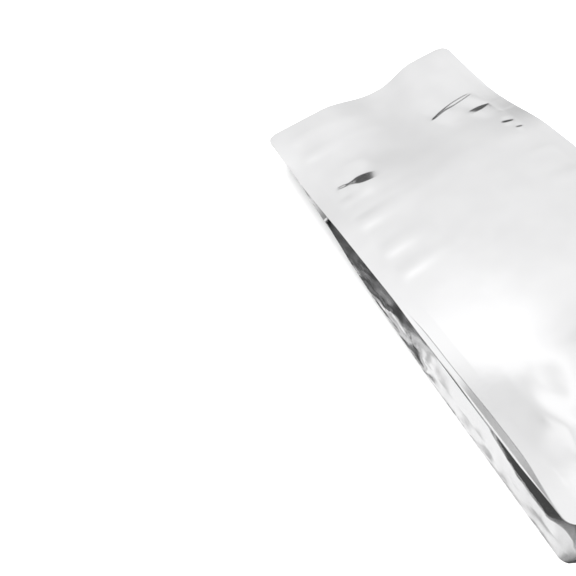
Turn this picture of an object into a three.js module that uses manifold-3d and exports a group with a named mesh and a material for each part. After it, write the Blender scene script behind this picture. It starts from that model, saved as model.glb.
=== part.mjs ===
// A filled flat-bottom bag of metallised film, heat-sealed shut and lying on its back panel.
// Four sealed fins run along its long edges, a gusset folds in between each pair of fins,
// and the empty stretch below the top seal is pressed flat, with a wide hollow along it.
// X runs across the panels, +Y towards the top seal, +Z up out of the front panel.
// The origin is on the resting surface, under the middle of the bag.

import * as THREE from 'three';
import { mergeVertices } from 'three/addons/utils/BufferGeometryUtils.js';
import Module from 'manifold-3d';

// Driving dimensions in millimetres. A slope is a rise for each millimetre of length.
const WIDTH = 120;             // across the panels, sealed fins included
const LENGTH = 276;            // from the top edge to the tip of the base skirt
const HEIGHT = 46;             // of the front panel's long edges, over the base
const GUSSET = 47;             // width of the gusset film
const FIN = 8;                 // width of the sealed fin on each long edge
const SKIRT = 6;               // seal that stands out past the base panel
const FILM = 0.8;              // flattened layers of film in the empty top
const SEAL = 0.6;              // the two layers of a fin
const CORNER = 6;              // rounding of the bag's corners
const FLAT = 47;               // empty length below the top edge
const SHOULDER = 36;           // length over which the gussets start to open
const CROWN = 7;               // rise of the front panel's middle over its edges
const BASE_HOLD = 60;          // length over which the base edge pulls that rise down
const BASE_SHARE = 0.3;        // share of the rise that is left at the base edge
const BASE_BULGE = 3;          // how far the contents push the base panel out

// The way the panels slope: the front falls towards the top, the back lifts off the surface.
const FRONT_FALL = { slope: 0.136, end: 190, bend: 100 };
const BACK_LIFT = { slope: 0.26, end: 140, bend: 50 };
const PARTING = 8;             // how softly the back panel leaves the front one
const SAG = { depth: 4.5, at: 50, half: 48 };                  // of the long edges
const DROOP = { depth: 3, from: 130, ramp: 60, end: 25 };      // of the front fins
const DRAWN_IN = { share: 0.018, length: 110 };                // narrowing at the top
const BACK_ROUND = { rise: 4, flat: 30, from: 105, ramp: 45 }; // of the back panel's edges
const UNFOLDED = { from: 230, ramp: 60 };                      // where the gussets lie open
const PUSHED_OUT = { depth: 6.8, from: 170, ramp: 80, end: 12 }; // of the gussets by the base

// Folds in the film.
const HOLLOW = { depth: 7.2, left: [-24, 10], right: [14, 38], drift: 0.14, length: 105 };
const BACK_FADE = 45;          // length over which the back film loses the front's folds
const CREASES = [
  { x: -34.5, s: 68.7, half: 13, width: 5, depth: 1.6, slope: -0.31 },
  { x: 33.5, s: 49.2, half: 16, width: 5, depth: 1.4, slope: 0.26 },
];

// How finely the film is divided.
const ACROSS = 22;
const GUSSET_ROWS = 6;
const FINE_END = 110;          // end of the closely divided stretch below the top edge

// Where a seal joins other film it runs on as a thin tongue inside it.
const TONGUE = { inset: 0.1, deeper: 0.2, thinner: 0.6 };
const SKIRT_TONGUE = { length: 3, tip: 1.5, share: 0.2 };

const half = WIDTH / 2;
const root = half - FIN;
const base = LENGTH - SKIRT;

const clamp = THREE.MathUtils.clamp;
const smooth = (t) => THREE.MathUtils.smoothstep(t, 0, 1);
const hump = (t) => (Math.abs(t) < 1 ? (1 - t * t) ** 2 : 0);

// In all of these, s is the distance down from the top edge and x the place across the bag.

// A straight slope that comes down towards the base and levels out round its end.
function incline(s, { slope, end, bend }) {
  const along = Math.max(end + bend / 2 - s, 0);
  return slope * (along < bend ? along ** 2 / (2 * bend) : along - bend / 2);
}

const sag = (s) => SAG.depth * hump((s - SAG.at) / SAG.half);

// Height of the front panel's long edges, and of the back panel below them.
const frontLine = (s) => HEIGHT - incline(s, FRONT_FALL) - sag(s);

function backLine(s) {
  const pressed = frontLine(s) - FILM;
  const lifted = incline(s, BACK_LIFT);
  const near = Math.max(PARTING - Math.abs(pressed - lifted), 0);
  return Math.min(pressed, lifted) - near ** 2 / (4 * PARTING);
}

const thickness = (s) => frontLine(s) - backLine(s);

// Share of the full thickness that the contents give the bag.
const fill = (s) => clamp((thickness(s) - FILM) / (GUSSET - FILM), 0, 1);

const opening = (s) => smooth((s - FLAT) / SHOULDER + 0.5);

// The lengthwise hollow that starts as a dip in the top edge.
function hollow(x, s) {
  const across = x + HOLLOW.drift * s;
  const down = THREE.MathUtils.smoothstep(across, ...HOLLOW.left);
  const up = 1 - THREE.MathUtils.smoothstep(across, ...HOLLOW.right);
  return -HOLLOW.depth * down * up * (1 - smooth(s / HOLLOW.length));
}

// The two folds where the stiff flat top meets the swelling below it.
function creases(x, s) {
  let sum = 0;
  for (const crease of CREASES) {
    const across = (x - crease.x) / crease.half;
    const down = (s - crease.s + crease.slope * (x - crease.x)) / crease.width;
    sum -= crease.depth * hump(across) * hump(down);
  }
  return sum;
}

const folds = (x, s) => hollow(x, s) + creases(x, s);

// The back film follows the front's folds only where the bag is empty. Where it rests, its long
// edges stand over the surface, and the seals outside them come down to it.
function back(x, s) {
  const shared = folds(x, s) * (1 - smooth((s - FLAT) / BACK_FADE));
  const resting = smooth((s - BACK_ROUND.from) / BACK_ROUND.ramp);
  const aside = smooth((Math.abs(x) - BACK_ROUND.flat) / (root - BACK_ROUND.flat));
  const outward = clamp((Math.abs(x) - root) / FIN, 0, 1);
  return backLine(s) + shared + BACK_ROUND.rise * resting * (aside - outward);
}

function front(x, s) {
  const over = 1 - clamp(x / root, -1, 1) ** 2;
  const held = 1 - (1 - BASE_SHARE) * smooth((s - base) / BASE_HOLD + 1);
  return frontLine(s) + folds(x, s) + (CROWN * fill(s) * held + sag(s)) * over;
}

// How far the middle of the gusset is folded in between the panels.
function foldDepth(s) {
  const slack = Math.max((GUSSET / 2) ** 2 - (thickness(s) / 2) ** 2, 0);
  return Math.sqrt(slack) * opening(s) * smooth((UNFOLDED.from - s) / UNFOLDED.ramp);
}

// How far the contents push the middle of the gusset out beside the base.
function pushedOut(s) {
  const grown = smooth((s - PUSHED_OUT.from) / PUSHED_OUT.ramp);
  return PUSHED_OUT.depth * grown * smooth((base - s) / PUSHED_OUT.end);
}

// Distance that a rounded corner takes off the width, at a distance from the end.
function rounding(fromEnd) {
  const t = clamp(CORNER - fromEnd, 0, CORNER);
  return CORNER - Math.sqrt(CORNER ** 2 - t ** 2);
}

const outline = (s) => half - rounding(s) - rounding(LENGTH - s);

const narrowing = (s) => 1 - DRAWN_IN.share * (1 - smooth(s / DRAWN_IN.length));

// Stations along the bag, from stretches of [start, end, steps].
function stations(stretches) {
  const list = [stretches[0][0]];
  for (const [start, end, steps] of stretches) {
    for (let i = 1; i <= steps; i += 1) {
      list.push(start + ((end - start) * i) / steps);
    }
  }
  return list;
}

// A divided box whose points are moved to place(across, station, up): it stays closed.
function shaped(across, list, up, place) {
  const steps = list.length - 1;
  const box = new THREE.BoxGeometry(1, 1, 1, across, steps, up);
  const points = box.getAttribute('position');
  for (let i = 0; i < points.count; i += 1) {
    const s = list[Math.round((0.5 - points.getY(i)) * steps)];
    const [x, y, z] = place(points.getX(i) + 0.5, s, points.getZ(i) + 0.5);
    points.setXYZ(i, x * narrowing(s), y, z);
  }
  box.deleteAttribute('normal');
  box.deleteAttribute('uv');
  return mergeVertices(box, 1e-4);
}

const alongY = (s) => LENGTH / 2 - s;

// The folded stretch near the top is divided more finely than the rest.
const FILM_ROWS = [[0, CORNER, 4], [CORNER, FINE_END, 28], [FINE_END, base, 14]];

// The bag between its fins: front, back, both gussets and the base panel.
function body() {
  return shaped(ACROSS, stations(FILM_ROWS), GUSSET_ROWS, (a, s, c) => {
    const flatX = root * (2 * a - 1);
    const fold = foldDepth(s) * (1 - Math.abs(2 * c - 1)) - pushedOut(s) * 4 * c * (1 - c);
    const atSide = a === 0 || a === 1;
    const x = atSide ? flatX - Math.sign(flatX) * fold : flatX;
    const low = back(flatX, s);
    const z = low + (front(flatX, s) - low) * c;
    const inBase = s === base ? BASE_BULGE * (1 - (2 * a - 1) ** 2) * (1 - (2 * c - 1) ** 2) : 0;
    return [x, alongY(s) - inBase, z];
  });
}

// Height of a seal's two faces over the panel that it belongs to. Where the seal reaches
// into other film, tongue grows from 0 to 1 and the seal thins to stay inside it.
function sealLayer(isFront, tongue, c) {
  const inset = TONGUE.inset + TONGUE.deeper * tongue;
  const thick = SEAL * (1 - TONGUE.thinner * tongue);
  return isFront ? -inset - thick * (1 - c) : inset + thick * c;
}

// One sealed fin on a long edge. It reaches one column into the body so that they join.
function fin(side, isFront) {
  const overlap = (2 * root) / ACROSS;
  const rows = stations([...FILM_ROWS, [base, LENGTH, 4]]);
  return shaped(2, rows, 1, (a, s, c) => {
    const out = 2 * (side > 0 ? a : 1 - a) - 1;
    const reach = out < 0 ? root + overlap * out : root + (outline(s) - root) * out;
    const x = side * reach;
    const at = Math.min(s, base);
    const turned = smooth((s - DROOP.from) / DROOP.ramp) * smooth((base - s) / DROOP.end);
    const droop = DROOP.depth * turned * (Math.max(reach - root, 0) / FIN) ** 2;
    const edge = isFront ? front(x, at) - droop : back(x, at);
    return [x, alongY(s), edge + sealLayer(isFront, Math.max(-out, 0), c)];
  });
}

// One seal that stands out past the base panel, along the front or the back panel's end.
// It has the body's columns, and one more at each end that reaches into the fin there.
function skirt(isFront) {
  const rows = stations([[base - SKIRT_TONGUE.length, base, 1], [base, LENGTH, 4]]);
  const columns = ACROSS + 2;
  return shaped(columns, rows, 1, (a, s, c) => {
    const atTip = a === 0 || a === 1;
    const tip = (root + SKIRT_TONGUE.tip) * Math.sign(a - 0.5);
    const x = atTip ? tip : (root * columns * (2 * a - 1)) / ACROSS;
    const at = Math.min(s, base);
    const edge = isFront ? front(x, at) : back(x, at);
    return [x, alongY(s), edge + sealLayer(isFront, atTip ? 1 : SKIRT_TONGUE.share, c)];
  });
}

const wasm = await Module();
wasm.setup();

function solid(geometry) {
  const mesh = new wasm.Mesh({
    numProp: 3,
    vertProperties: new Float32Array(geometry.getAttribute('position').array),
    triVerts: new Uint32Array(geometry.getIndex().array),
  });
  return new wasm.Manifold(mesh);
}

let whole = solid(body());
for (const isFront of [true, false]) {
  for (const side of [-1, 1]) {
    whole = whole.add(solid(fin(side, isFront)));
  }
  whole = whole.add(solid(skirt(isFront)));
}

const joined = whole.getMesh();
const film = new THREE.BufferGeometry();
film.setAttribute('position', new THREE.BufferAttribute(joined.vertProperties, 3));
film.setIndex(new THREE.BufferAttribute(joined.triVerts, 1));
film.computeVertexNormals();

const foil = new THREE.MeshStandardMaterial({ color: 0xdfdfe0, roughness: 0.3, metalness: 1 });
const bag = new THREE.Mesh(film, foil);
bag.name = 'bag';

const group = new THREE.Group();
group.add(bag);

export default group;
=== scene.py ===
import math

import bmesh
import bpy
from mathutils import Matrix, Vector, noise


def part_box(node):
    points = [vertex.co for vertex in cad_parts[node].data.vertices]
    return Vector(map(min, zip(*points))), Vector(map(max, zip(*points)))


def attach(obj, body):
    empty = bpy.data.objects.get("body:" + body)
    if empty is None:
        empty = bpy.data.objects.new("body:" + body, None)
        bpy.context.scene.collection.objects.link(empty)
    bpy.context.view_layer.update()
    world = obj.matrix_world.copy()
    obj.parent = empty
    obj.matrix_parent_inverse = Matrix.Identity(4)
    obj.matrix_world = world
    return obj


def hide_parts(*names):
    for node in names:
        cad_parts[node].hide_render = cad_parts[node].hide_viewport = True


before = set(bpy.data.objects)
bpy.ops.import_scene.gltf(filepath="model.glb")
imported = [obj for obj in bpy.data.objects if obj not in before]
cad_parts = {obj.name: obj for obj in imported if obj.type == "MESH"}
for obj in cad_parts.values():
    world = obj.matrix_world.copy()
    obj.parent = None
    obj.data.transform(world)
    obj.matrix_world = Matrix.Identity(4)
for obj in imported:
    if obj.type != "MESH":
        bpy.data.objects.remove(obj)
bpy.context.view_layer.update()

# The film of the bag
# Plain metallised laminate: front and back panel, two gussets that fold in, and a flat base, heat-sealed
# to each other along fins on all long edges and along a short skirt round the base.
# The filled bag lies on its back, with the empty top pressed flat and standing clear of the surface.
low, high = (Vector(corner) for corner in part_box("bag"))
length = high.y - low.y
fin = 0.008
skirt = 0.006
root = (high.x - low.x) / 2 - fin
base = length - skirt
gusset = 0.047
corner_radius = 0.006
film_thickness = 0.0003
empty_thickness = 0.0008
flat_top = 0.047
shoulder = 0.036
crown = 0.007
back_rise = 0.0040


# Below, x is the place across the bag and s the distance down from its top edge, in metres.
def clamp(value, least, most):
    return min(max(value, least), most)


def smooth(t):
    t = clamp(t, 0.0, 1.0)
    return t * t * (3.0 - 2.0 * t)


def hump(t):
    return (1.0 - t * t) ** 2 if abs(t) < 1.0 else 0.0


def blend(a, b, t):
    return a + (b - a) * t


def past(s, start, reach):
    """Share that grows from 0 at start to 1 at the end of reach."""
    return smooth((s - start) / reach)


def clear_of_base(s, reach):
    """Share that falls from 1 to 0 over the last stretch before the base."""
    return smooth((base - s) / reach)


def incline(s, slope, end, bend):
    """A straight slope that comes down towards the base and levels out round end."""
    along = max(end + bend / 2 - s, 0.0)
    if along < bend:
        return slope * along ** 2 / (2 * bend)
    return slope * (along - bend / 2)


def edge_dip(s, depth=0.0045, lowest=0.050, reach=0.048):
    """How far the long edges sag where the empty top meets the contents."""
    return depth * hump((s - lowest) / reach)


def front_line(s, full=0.0460):
    """Height of the front panel's long edges."""
    return full - incline(s, slope=0.136, end=0.190, bend=0.100) - edge_dip(s)


def back_line(s, parting=0.008):
    """Height of the back panel, which runs with the front where the bag is empty."""
    pressed = front_line(s) - empty_thickness
    lifted = incline(s, slope=0.26, end=0.140, bend=0.050)
    near = max(parting - abs(pressed - lifted), 0.0)
    return min(pressed, lifted) - near ** 2 / (4 * parting)


def thickness(s):
    return front_line(s) - back_line(s)


def fill_share(s):
    """Share of the full thickness that the contents give the bag."""
    return clamp((thickness(s) - empty_thickness) / (gusset - empty_thickness), 0.0, 1.0)


def opening(s):
    """How far the panels have come apart, from 0 in the flat top to 1."""
    return smooth((s - flat_top) / shoulder + 0.5)


def valley(x, s, depth=0.0072, reach=0.105, drift=0.14):
    """The broad lengthwise hollow that starts as a dip in the top edge."""
    across = x + drift * s
    left = past(across, -0.024, 0.034)
    right = 1.0 - past(across, 0.014, 0.024)
    return -depth * left * right * (1.0 - smooth(s / reach))


def trough(x, s, depth=0.0016, lowest=0.045, end=0.076, middle=-0.023, half_width=0.023):
    """The shallow trough that joins the two main creases across the bag."""
    along = smooth(s / lowest) if s < lowest else 1.0 - past(s, lowest, end - lowest)
    return -depth * hump((x - middle) / half_width) * along


def stiff_edge(x, s, share=0.4):
    """The left long edge sags less than the right one."""
    return share * smooth(-x / root) * edge_dip(s)


def pleats(x, s):
    """Shallow ridges that run in from the long seals: side, place, length, height, half width."""
    total = 0.0
    for side, place, reach, height, wide in (
        (-1, 0.014, 0.030, 0.00035, 0.006), (-1, 0.031, 0.030, 0.00045, 0.006),
        (-1, 0.078, 0.018, 0.00022, 0.005), (-1, 0.098, 0.022, 0.00062, 0.007),
        (-1, 0.122, 0.022, 0.00048, 0.007), (-1, 0.139, 0.024, 0.00040, 0.006),
        (1, 0.112, 0.015, 0.00020, 0.004), (1, 0.135, 0.018, 0.00025, 0.006),
    ):
        inside = max(root - side * x, 0.0) / (reach / 3)
        total += height * inside * math.exp(1.0 - inside) * hump((s - place) / wide)
    return total


def on_crease(x, s, start, end):
    """Place along a crease from 0 to 1, distance below its line, and its length."""
    run = Vector(end) - Vector(start)
    away = Vector((x, s)) - Vector(start)
    below = (away.y * run.x - away.x * run.y) / run.length
    return clamp(away.dot(run) / run.length_squared, 0.0, 1.0), below, run.length


def settled(beside, crease_length, share=0.6, least=0.004):
    """How much of a crease's step is left in the film beside it, over a share of the crease's length."""
    return 1.0 - smooth(beside / max(share * crease_length, least))


def pinches(x, s, edge=0.0012):
    """Narrow lenses of film between two sharp lines: both ends, half width, rise and fading."""
    total = 0.0
    for start, end, wide, rise, fading in (
        ((-0.0480, 0.0647), (-0.0350, 0.0678), 0.0010, 0.00036, 0.003),
        ((0.0185, 0.0521), (0.0500, 0.0446), 0.0014, 0.00036, 0.005),
        ((0.0516, 0.0717), (0.0511, 0.0566), 0.0000, 0.00006, 0.003),
    ):
        along, below, reach = on_crease(x, s, start, end)
        lens = wide * (4 * along * (1.0 - along)) ** 0.5
        ends = smooth(along * reach / fading) * smooth((1.0 - along) * reach / fading)
        lines = smooth((below + lens) / edge + 0.5) + smooth((below - lens) / edge + 0.5)
        total += rise * ends * (lines - 1.0) * settled(abs(below) - lens - edge / 2, reach)
    return total


def slants(x, s, slope=0.25):
    """Lenses of film turned away from the light: both ends, half width, and the end that is soft."""
    total = 0.0
    for start, end, wide, soft in (
        ((-0.0425, 0.0660), (-0.0215, 0.0709), 0.0046, 1.0),
        ((0.0190, 0.0520), (0.0365, 0.0475), 0.0018, 1.0),
        ((0.0340, 0.0622), (0.0508, 0.0592), 0.0024, 0.0),
        ((0.0430, 0.0804), (0.0503, 0.0822), 0.0013, 0.0),
        ((0.0458, 0.0889), (0.0507, 0.0902), 0.0009, 0.0),
    ):
        along, below, reach = on_crease(x, s, start, end)
        lens = wide * 4 * along * (1.0 - along)
        turned = slope * smooth(abs(along - soft) / 0.5)
        total += turned * clamp(below, -lens, lens) * settled(abs(below) - lens, reach)
    return total


def dents(x, s, depth=0.0014, ripple=0.0002):
    """Soft facets, about 25 mm across, where the contents show through the lower front."""
    near_base = past(s, 0.185, 0.045) * clear_of_base(s, 0.020)
    off_middle = 0.4 + 0.6 * smooth((abs(x) - 0.020) / 0.020)
    off_seals = 1.0 - clamp(x / root, -1.0, 1.0) ** 6
    facets = noise.voronoi(Vector((x * 42.0, s * 34.0, 3.0)))[0][0]
    small = noise.noise(Vector((x * 110.0, s * 90.0, 7.0)))
    return near_base * off_middle * off_seals * (depth * (facets - 0.4) + ripple * small)


def shared_folds(x, s):
    """Folds of the empty top that front and back film have in common."""
    return valley(x, s) + trough(x, s) + stiff_edge(x, s) + pinches(x, s) + slants(x, s)


def back(x, s, flat_half=0.030):
    """Height of the back panel, whose long edges stand over its middle where the bag rests."""
    folds = shared_folds(x, s) * (1.0 - past(s, flat_top, 0.045))
    edge = smooth((abs(x) - flat_half) / (root - flat_half)) * past(s, 0.105, 0.045)
    return back_line(s) + folds + back_rise * edge


def crown_height(s):
    """Rise of the front panel's middle, which the base edge pulls down."""
    held = 1.0 - 0.7 * past(s, base - 0.060, 0.060)
    return crown * fill_share(s) * held + edge_dip(s)


def crown_power(s):
    """The crown is a plain arch in the upper part and has steeper sides in the filled one."""
    return blend(2.0, 2.4, past(s, 0.170, 0.050))


def front(x, s):
    over = 1.0 - abs(clamp(x / root, -1.0, 1.0)) ** crown_power(s)
    loose = shared_folds(x, s) + pleats(x, s) + dents(x, s)
    return front_line(s) + loose + crown_height(s) * over


def fold_depth(s, unfolded=0.230, reach=0.060):
    """How far the middle of a gusset is folded in between the panels."""
    slack = max((gusset / 2) ** 2 - (thickness(s) / 2) ** 2, 0.0)
    return math.sqrt(slack) * opening(s) * smooth((unfolded - s) / reach)


def pushed_out(s, depth=0.0068):
    """How far the contents push the gussets out beside the base."""
    return depth * past(s, 0.170, 0.080) * clear_of_base(s, 0.012)


def rounding(from_end):
    """What a rounded corner takes off the width, at a distance from the end."""
    short = clamp(corner_radius - from_end, 0.0, corner_radius)
    return corner_radius - math.sqrt(corner_radius ** 2 - short ** 2)


def fin_width(s):
    return fin - rounding(s) - rounding(length - s)


# The outer strip of a front fin is folded down. Places across a fin run from 0 at its root to 1 at its
# tip: the fold, and the lip that turns out again. The strip gains width and angle towards the base.
fold_at, past_fold, lip_at = 0.60, 0.62, 0.93
strip_width, gained_width = 0.0025, 0.0011
strip_angle, gained_angle = math.radians(24), math.radians(11)
fold_step = 0.0001


def front_fin(side, out, s):
    """Distance from the middle and height of the front fin, whose outer strip is folded down."""
    started = past(s, 0.142, 0.034)
    strip = strip_width * started + gained_width * past(s, 0.190, 0.035)
    strip = min(strip * clear_of_base(s, 0.030) + 0.0002, 0.5 * fin_width(s))
    angle = strip_angle * started + gained_angle * past(s, 0.190, 0.020)
    lip_angle = 0.7 * angle
    along = (fin_width(s) - 0.7 * strip) * min(out / fold_at, 1.0)
    beyond = strip * (clamp(out, fold_at, lip_at) - fold_at) / (1.0 - fold_at)
    lip = strip * max(out - lip_at, 0.0) / (1.0 - fold_at)
    step = fold_step * started * clear_of_base(s, 0.030) * past(out, fold_at, past_fold - fold_at)
    drop = crown_power(s) * crown_height(s) / root * along + step
    drop += beyond * math.sin(angle) + lip * math.sin(lip_angle)
    x = root + along + beyond * math.cos(angle) + lip * math.cos(lip_angle)
    return x, front(side * root, min(s, base)) - drop


def buckles(spot):
    """Waves with sharp edges, about level on the whole."""
    return abs(noise.noise(spot)) - 0.25


def back_fin(side, out, s):
    """The back fin, which waves where it is slack and slopes to the surface where the bag rests."""
    tilt = 0.0
    for change, start, reach in (
        (0.28, 0.044, 0.012), (-0.46, 0.070, 0.006), (0.17, 0.090, 0.008), (0.11, 0.128, 0.014),
    ):
        tilt += change * past(s, start, reach)
    tilt = blend(tilt, back_rise / fin, past(s, 0.150, 0.026))
    slack = past(s, 0.080, 0.020) * (1.0 - 0.7 * past(s, 0.155, 0.030)) * clear_of_base(s, 0.010)
    spot = Vector((s * 48.0, out * 1.7 + s * 40.0, 5.0 * side))
    waves = 0.0026 * buckles(spot) + 0.0014 * buckles(spot * 2.3)
    drop = tilt * fin * out - waves * slack * smooth(out / 0.5)
    return root + out * fin_width(s), max(back(side * root, min(s, base)) - drop, 0.0)


def crumple(side, s, place_down):
    """Sharp-edged buckles in the film of a gusset, strongest where it is slack."""
    slack = math.sin(math.pi * place_down) * past(s, 0.055, 0.020)
    slack *= (1.0 - 0.6 * past(s, 0.160, 0.050)) * clear_of_base(s, 0.012)
    spot = Vector((s, place_down * gusset, side))
    return slack * (0.0030 * buckles(spot * 90.0) + 0.0012 * buckles(spot * 190.0))


def stations(*stretches):
    """Places along a line, from stretches of start, end and steps."""
    places = [stretches[0][0]]
    for start, end, steps in stretches:
        places += [blend(start, end, step / steps) for step in range(1, steps + 1)]
    return places


# The film is divided most finely round the creases and at the folds of the fins. Across the bag,
# places run from -1 to 0 on the left fin, from 0 to 1 on the panels and from 1 to 2 on the right fin.
fin_places = stations(
    (0.0, 0.58, 3), (0.58, fold_at, 1), (fold_at, past_fold, 1), (past_fold, 0.64, 1),
    (0.64, 0.90, 2), (0.90, lip_at, 1), (lip_at, 1.0, 2),
)
across_places = [-place for place in reversed(fin_places[1:])]
across_places += stations((0.0, 0.28, 46), (0.28, 0.66, 26), (0.66, 1.0, 46))
across_places += [1.0 + place for place in fin_places[1:]]
down_places = stations(
    (0.0, corner_radius, 5), (corner_radius, 0.042, 14), (0.042, 0.074, 86), (0.074, 0.092, 30),
    (0.092, 0.160, 34), (0.160, base, 56), (base, length, 4),
)

# Steps down a side go in along the front fin's inner film, down the gusset and out along the back fin's.
fin_steps = len(fin_places) - 1
gusset_steps = 22
front_root = fin_steps + 1
back_root = front_root + gusset_steps
columns = len(across_places) - 1
rows = len(down_places) - 1
last_step = back_root + front_root


def inner_place(step):
    """How far a step is set in from the fin's tip, and its place down the gusset."""
    if step <= front_root:
        return 1.0 - fin_places[fin_steps - max(step - 1, 0)], 0.0
    if step >= back_root:
        return 1.0 - fin_places[fin_steps - max(last_step - 1 - step, 0)], 1.0
    return 1.0, (step - front_root) / gusset_steps


def panel_place(place, s, is_front):
    """A point of the front or back film, its fins included."""
    if 0.0 <= place <= 1.0:
        x = blend(-root, root, place)
        return x, front(x, min(s, base)) if is_front else back(x, min(s, base))
    side, out = (-1, -place) if place < 0.0 else (1, place - 1.0)
    x, z = front_fin(side, out, s) if is_front else back_fin(side, out, s)
    return side * x, z


def side_place(side, s, step):
    """A point of a gusset or of a fin's inner film, left of the middle for side -1."""
    inset, place_down = inner_place(step)
    top_x, top_z = front_fin(side, 1.0 - inset, s)
    bottom_x, bottom_z = back_fin(side, 1.0 - inset, s)
    free_x = blend(top_x, bottom_x, place_down)
    free_z = blend(top_z - film_thickness, bottom_z + film_thickness, place_down)
    vee = 1.0 - abs(2.0 * place_down - 1.0)
    bow = 4 * place_down * (1.0 - place_down)
    free_x += crumple(side, s, place_down) - fold_depth(s) * vee + pushed_out(s) * bow
    shut_x, shut_top = front_fin(side, 1.0, s)
    shut_z = blend(shut_top, back_fin(side, 1.0, s)[1], step / last_step)
    return side * blend(shut_x, free_x, opening(s)), blend(shut_z, free_z, opening(s))


def base_place(column, step, bulge=0.003):
    """A point of the base panel, which the contents push out, or of the skirt's inner film."""
    inset, place_down = inner_place(step)
    end = length - skirt * inset
    place = clamp(across_places[column], inset - 1.0, 2.0 - inset)
    top_x, top_z = panel_place(place, end, True)
    bottom_x, bottom_z = panel_place(place, end, False)
    x = blend(top_x, bottom_x, place_down)
    bow = (1.0 - min(abs(x) / root, 1.0) ** 2) * 4 * place_down * (1.0 - place_down)
    z = blend(top_z - film_thickness, bottom_z + film_thickness, place_down)
    return x, end + bulge * bow, z


def film_place(column, row, step):
    """A point of the film, as its place across, distance down and height."""
    s = down_places[row]
    place = across_places[column]
    if step == 0 or step == last_step:
        x, z = panel_place(place, s, step == 0)
        return x, s, z
    if row == 0:
        x, top = panel_place(place, s, True)
        return x, s, blend(top, panel_place(place, s, False)[1], step / last_step)
    if row == rows:
        return base_place(column, step)
    s *= 1.0 - skirt / length * inner_place(step)[0]
    x, z = side_place(-1 if column == 0 else 1, s, step)
    return x, s, z


def drawn_in(s, share=0.018, reach=0.110):
    """The dip in the empty top draws the long edges together a little."""
    return 1.0 - share * (1.0 - smooth(s / reach))


# The shell is a divided box: its top is the front film, its underside the back film, its sides are the
# gussets and its end is the base. It stays sharp along the rims and roots of the fins.
shell = bmesh.new()
bmesh.ops.create_cube(shell, size=1.0)
for axis, steps in enumerate((columns, rows, last_step)):
    along = [e for e in shell.edges if abs((e.verts[0].co - e.verts[1].co)[axis]) > 0.5]
    bmesh.ops.subdivide_edges(shell, edges=along, cuts=steps - 1, use_grid_fill=True)
sharp_steps = (0, 1, front_root, back_root, last_step - 1, last_step)
step_of = {}
for point in shell.verts:
    column = round((point.co.x + 0.5) * columns)
    row = round((0.5 - point.co.y) * rows)
    step = round((0.5 - point.co.z) * last_step)
    on_side = column in (0, columns) or row in (0, rows)
    step_of[point] = step if on_side else None
    x, s, z = film_place(column, row, step)
    point.co = (x * drawn_in(s), high.y - s, z)
for edge in shell.edges:
    first, second = (step_of[point] for point in edge.verts)
    edge.smooth = first != second or first not in sharp_steps
for face in shell.faces:
    face.smooth = True
merged_within = 0.000002
bmesh.ops.remove_doubles(shell, verts=shell.verts, dist=merged_within)
film_mesh = bpy.data.meshes.new("bag_film")
shell.to_mesh(film_mesh)
shell.free()
bag_film = bpy.data.objects.new("bag_film", film_mesh)
bpy.context.scene.collection.objects.link(bag_film)

foil = bpy.data.materials.new("satin_foil")
foil.use_nodes = True
foil_tree = foil.node_tree
foil_shader = foil_tree.nodes["Principled BSDF"]
foil_shader.inputs["Metallic"].default_value = 1.0


def add_node(tree, kind, *values, operation=None, **named):
    """A node whose inputs are given in order or by name (_ for a space), as values or sockets."""
    node = tree.nodes.new(kind)
    if operation:
        node.operation = operation
    inputs = list(zip(node.inputs, values))
    inputs += [(node.inputs[name.replace("_", " ")], value) for name, value in named.items()]
    for socket, value in inputs:
        if isinstance(value, bpy.types.NodeSocket):
            tree.links.new(value, socket)
        else:
            socket.default_value = value
    return node


# Clouds in the metal layer change its tone and gloss, and the pressed seals are a little duller.
on_film = add_node(foil_tree, "ShaderNodeTexCoord").outputs["Object"]
clouds = add_node(foil_tree, "ShaderNodeTexNoise", Vector=on_film, Scale=55.0, Detail=2.0).outputs["Fac"]
silver = add_node(foil_tree, "ShaderNodeValToRGB", Fac=clouds)
for stop, position, tone in zip(silver.color_ramp.elements, (0.35, 0.65), (0.845, 0.875)):
    stop.position = position
    stop.color = (tone, tone, tone + 0.005, 1.0)
foil_tree.links.new(silver.outputs["Color"], foil_shader.inputs["Base Color"])
gloss = add_node(
    foil_tree, "ShaderNodeMapRange", Value=clouds,
    From_Min=0.3, From_Max=0.7, To_Min=0.15, To_Max=0.20,
).outputs["Result"]
across = add_node(foil_tree, "ShaderNodeSeparateXYZ", on_film).outputs["X"]
from_middle = add_node(foil_tree, "ShaderNodeMath", across, operation="ABSOLUTE").outputs["Value"]
seal_blur = 0.0004
sealed = add_node(
    foil_tree, "ShaderNodeMapRange", Value=from_middle,
    From_Min=root - seal_blur, From_Max=root + seal_blur, To_Min=0.0, To_Max=0.06,
).outputs["Result"]
dullness = add_node(foil_tree, "ShaderNodeMath", gloss, sealed, operation="ADD").outputs["Value"]
foil_tree.links.new(dullness, foil_shader.inputs["Roughness"])

# The film is finely crinkled all over.
crinkle = add_node(foil_tree, "ShaderNodeTexNoise", Vector=on_film, Scale=420.0, Detail=3.0).outputs["Fac"]
crinkled = add_node(foil_tree, "ShaderNodeBump", Strength=0.08, Distance=0.0002, Height=crinkle)
foil_tree.links.new(crinkled.outputs["Normal"], foil_shader.inputs["Normal"])
film_mesh.materials.append(foil)

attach(bag_film, "root")
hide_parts("bag")

# The floor
# A sheet of pale paper, lit evenly by one large soft lamp overhead that the foil doesn't mirror.
# In the foil, the paper shows a painted reflection: glossy rays see a dark glow instead of the paper,
# paler in front of the base.
floor_half = 3.0
floor_mesh = bpy.data.meshes.new("floor")
sheet = bmesh.new()
bmesh.ops.create_grid(sheet, x_segments=1, y_segments=1, size=floor_half)
sheet.to_mesh(floor_mesh)
sheet.free()
floor = bpy.data.objects.new("floor", floor_mesh)
bpy.context.scene.collection.objects.link(floor)

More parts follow.
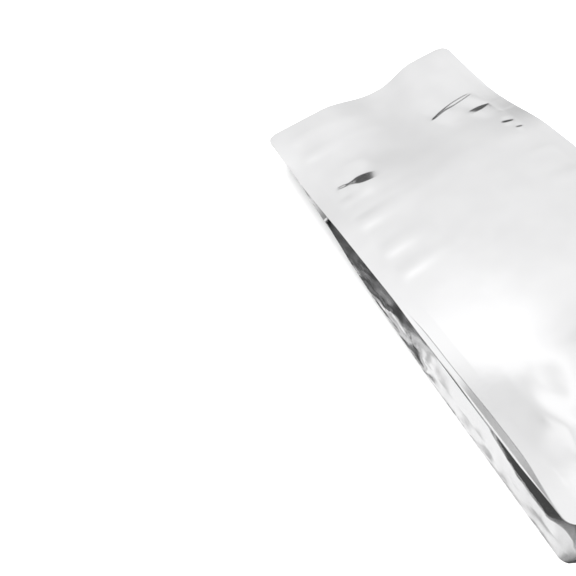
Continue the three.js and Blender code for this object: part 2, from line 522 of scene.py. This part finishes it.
paper = bpy.data.materials.new("pale_paper")
paper.use_nodes = True
paper_tree = paper.node_tree
paper_shader = paper_tree.nodes["Principled BSDF"]
paper_shader.inputs["Base Color"].default_value = (0.9, 0.9, 0.9, 1.0)
paper_shader.inputs["Roughness"].default_value = 0.9
paper_shader.inputs["Specular IOR Level"].default_value = 0.0
on_floor = add_node(paper_tree, "ShaderNodeTexCoord").outputs["Object"]
lengthwise = add_node(paper_tree, "ShaderNodeSeparateXYZ", on_floor).outputs["Y"]
# Painted reflection: glossy rays see the paper as a dark emission, 0.07 by the bag rising to 0.5 in front
# of the base.
painted_reflection_level = add_node(
    paper_tree, "ShaderNodeMapRange", Value=lengthwise,
    From_Min=-0.145, From_Max=-0.26, To_Min=0.07, To_Max=0.50,
).outputs["Result"]
painted_reflection_glow = add_node(paper_tree, "ShaderNodeEmission", Strength=painted_reflection_level).outputs["Emission"]
in_foil = add_node(paper_tree, "ShaderNodeLightPath").outputs["Is Glossy Ray"]
seen_or_painted_reflection = add_node(
    paper_tree, "ShaderNodeMixShader", in_foil, paper_shader.outputs["BSDF"], painted_reflection_glow,
).outputs["Shader"]
paper_tree.links.new(seen_or_painted_reflection, paper_tree.nodes["Material Output"].inputs["Surface"])
floor_mesh.materials.append(paper)

lamp_side, lamp_height, lamp_radiance = 2.4, 1.6, 4.2
lamp = bpy.data.lights.new("floor_light", "AREA")
lamp.shape = "SQUARE"
lamp.size = lamp_side
lamp.energy = lamp_radiance * math.pi * lamp_side ** 2
floor_light = bpy.data.objects.new("floor_light", lamp)
floor_light.location = (0.0, 0.0, lamp_height)
floor_light.visible_glossy = False
bpy.context.scene.collection.objects.link(floor_light)

# The tent
# A soft white tent round the bag, plain to the camera. What the foil mirrors of it is graded: an arch
# of bands from the horizon behind the bag, over the top, to the camera's side, and a darker left side.
tent = bpy.data.worlds.new("white_tent")
bpy.context.scene.world = tent
tent.use_nodes = True
tent_tree = tent.node_tree


def tent_math(operation, first, second=0.0):
    return add_node(tent_tree, "ShaderNodeMath", first, second, operation=operation).outputs["Value"]


def tent_ramp(factor, stops):
    """Levels that change softly with a factor from 0 to 1, given as positions and levels."""
    node = add_node(tent_tree, "ShaderNodeValToRGB", factor)
    node.color_ramp.interpolation = "EASE"
    elements = node.color_ramp.elements
    while len(elements) < len(stops):
        elements.new(0.5)
    for element, (position, level) in zip(elements, stops):
        element.position = position
        element.color = (level, level, level, 1.0)
    return node.outputs["Color"]


def mixed(first, second, share):
    return tent_math("ADD", first, tent_math("MULTIPLY", share, tent_math("SUBTRACT", second, first)))


direction = add_node(tent_tree, "ShaderNodeTexCoord").outputs["Generated"]
rightward, backward, upward = add_node(tent_tree, "ShaderNodeSeparateXYZ", direction).outputs

# The arch's bands lean over to the right, most of all overhead.
turn = tent_math("DIVIDE", tent_math("ARCTAN2", upward, backward), math.pi)
to_right = tent_math("MAXIMUM", tent_math("MULTIPLY", rightward, 3.75), rightward)
lean = tent_ramp(turn, ((0.18, 0.0), (0.25, 0.024), (0.30, 0.024), (0.36, 0.20)))
leaning = tent_math("SUBTRACT", turn, tent_math("MULTIPLY", lean, to_right))
arch = tent_ramp(tent_math("MAXIMUM", leaning, tent_math("MINIMUM", turn, 0.14)), (
    (0.00, 0.06), (0.02, 0.08), (0.05, 0.52), (0.08, 0.55), (0.125, 0.58), (0.16, 0.625), (0.20, 0.64),
    (0.245, 0.68), (0.265, 0.71), (0.29, 0.83), (0.345, 0.84), (0.37, 0.66), (0.385, 0.57),
    (0.425, 0.56), (0.445, 0.80), (0.48, 0.80), (0.54, 0.25), (0.58, 0.05), (0.80, 0.06), (0.88, 0.45),
    (1.00, 0.50),
))

# On the camera's side it is pale again, but for the left.
camera_side = tent_ramp(turn, ((0.50, 0.0), (0.60, 1.0)))
not_left = tent_ramp(tent_math("ADD", rightward, 0.5), ((0.30, 0.0), (0.48, 1.0)))
paler_arch = tent_math("MAXIMUM", arch, 0.45)
middle_part = mixed(arch, paler_arch, tent_math("MULTIPLY", camera_side, not_left))

# The left side has a bright band half way up, dimmer towards the camera, and a pale foot.
to_left = tent_math("SUBTRACT", tent_ramp(upward, ((0.90, 0.0), (0.95, 0.16))), rightward)
left_band = tent_ramp(upward, (
    (0.0, 0.06), (0.47, 0.10), (0.57, 0.76), (0.75, 0.80), (0.80, 0.40), (0.86, 0.28), (1.0, 0.28),
))
left_part = tent_math("MULTIPLY", left_band, tent_ramp(backward, ((0.02, 0.35), (0.25, 1.0))))
both_parts = mixed(middle_part, left_part, tent_ramp(to_left, ((0.26, 0.0), (0.40, 1.0))))
far_left = tent_ramp(to_left, ((0.70, 0.0), (0.80, 1.0)))
foot = tent_ramp(upward, ((0.10, 0.0), (0.20, 1.0), (0.34, 1.0), (0.42, 0.0)))
pale_foot = tent_math("MAXIMUM", both_parts, 0.42)
mirrored_tent = mixed(both_parts, pale_foot, tent_math("MULTIPLY", far_left, foot))

plain_white = 0.65
seen = add_node(tent_tree, "ShaderNodeLightPath").outputs["Is Camera Ray"]
tent_light = tent_tree.nodes["Background"]
tent_tree.links.new(mixed(mirrored_tent, plain_white, seen), tent_light.inputs["Color"])
tent_light.inputs["Strength"].default_value = 1.5

# The camera
# It looks down on the bag from beside its base, rolled so that the bag's top points up to the left.
# The focal length is in pixels of the 576-pixel frame, and the angles are in radians.
azimuth, elevation, roll = 0.169, 0.929, -0.365
camera_place = (-0.13930, -0.21960, 0.36927)
focal_pixels, frame_pixels = 873.9, 576
sensor_width = 36.0
forward = Vector((
    math.sin(azimuth) * math.cos(elevation),
    math.cos(azimuth) * math.cos(elevation),
    -math.sin(elevation),
))
level = Vector((math.cos(azimuth), -math.sin(azimuth), 0.0))
upright = level.cross(forward)
right = math.cos(roll) * level + math.sin(roll) * upright
up = math.cos(roll) * upright - math.sin(roll) * level
camera_data = bpy.data.cameras.new("camera")
camera_data.sensor_fit = "HORIZONTAL"
camera_data.sensor_width = sensor_width
camera_data.lens = focal_pixels / frame_pixels * sensor_width
camera_data.clip_start = 0.01
camera = bpy.data.objects.new("camera", camera_data)
bpy.context.scene.collection.objects.link(camera)
turned = Matrix((right, up, -forward)).transposed().to_4x4()
camera.matrix_world = Matrix.Translation(camera_place) @ turned
bpy.context.scene.camera = camera
bpy.context.scene.view_settings.view_transform = "Standard"
